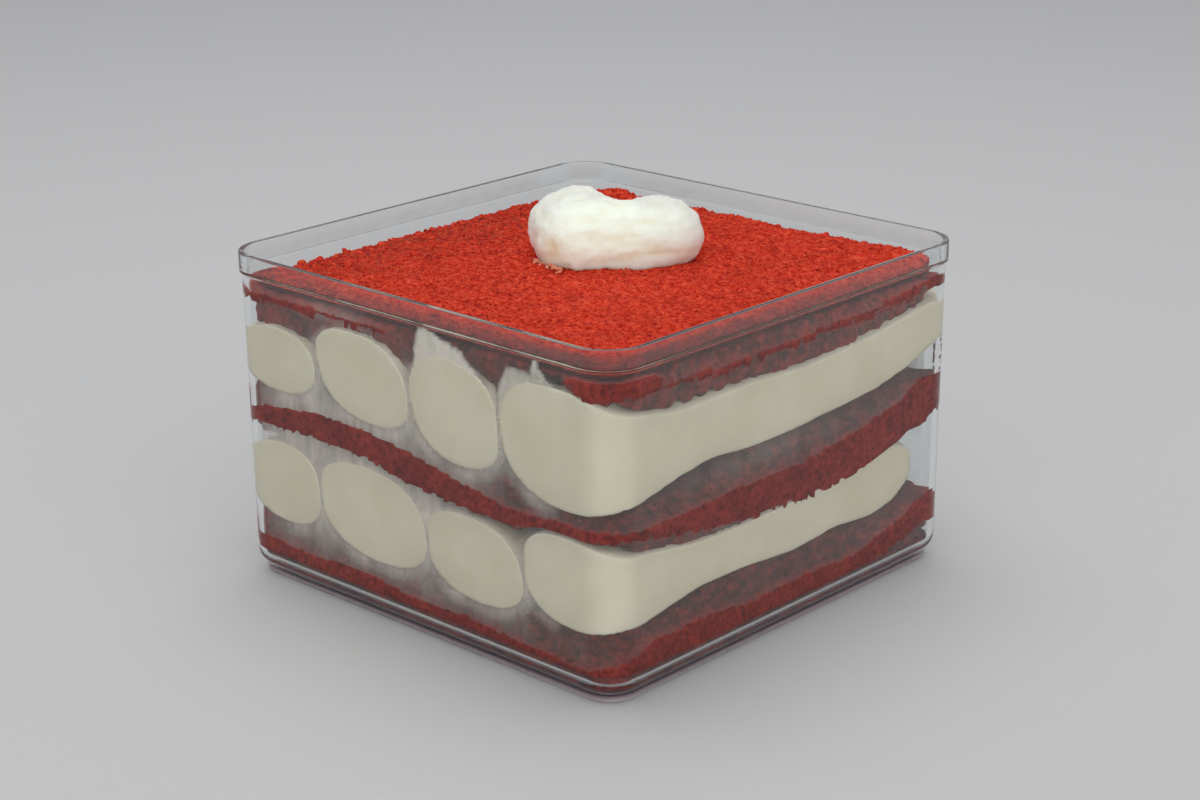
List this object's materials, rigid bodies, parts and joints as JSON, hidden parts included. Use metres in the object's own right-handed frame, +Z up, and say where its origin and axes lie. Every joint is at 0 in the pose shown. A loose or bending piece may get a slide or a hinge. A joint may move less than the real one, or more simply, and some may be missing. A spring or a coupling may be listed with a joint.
{
  "type": "red velvet box cake",
  "caption": "Layered red velvet cake in a clear square box: red sponge, piped ropes of cream, a crumbed top and a heart of cream.",
  "frame": {"origin": "middle of the box's underside", "axes": "+Z up; the box's walls run along X and Y, the ropes of cream run along Y and their round ends press on the -Y wall"},
  "size_m": [0.102, 0.102, 0.0754],
  "materials": {
    "clear_plastic": "clear, smooth and glossy",
    "red_sponge": "matte, open-crumbed deep red sponge",
    "red_crumbs": "loose bright red crumbs",
    "cream": "soft ivory cream, satin",
    "heart_cream": "soft white cream, satin"
  },
  "bodies": {
    "root": {"box": "clear_plastic", "sponge_bottom": "red_sponge", "sponge_middle": "red_sponge", "sponge_top": "red_sponge", "crumb_layer": "red_crumbs", "cream_lower_1": "cream", "cream_lower_2": "cream", "cream_lower_3": "cream", "cream_lower_4": "cream", "cream_upper_1": "cream", "cream_upper_2": "cream", "cream_upper_3": "cream", "cream_upper_4": "cream", "cream_heart": "heart_cream"}
  },
  "joints": []
}
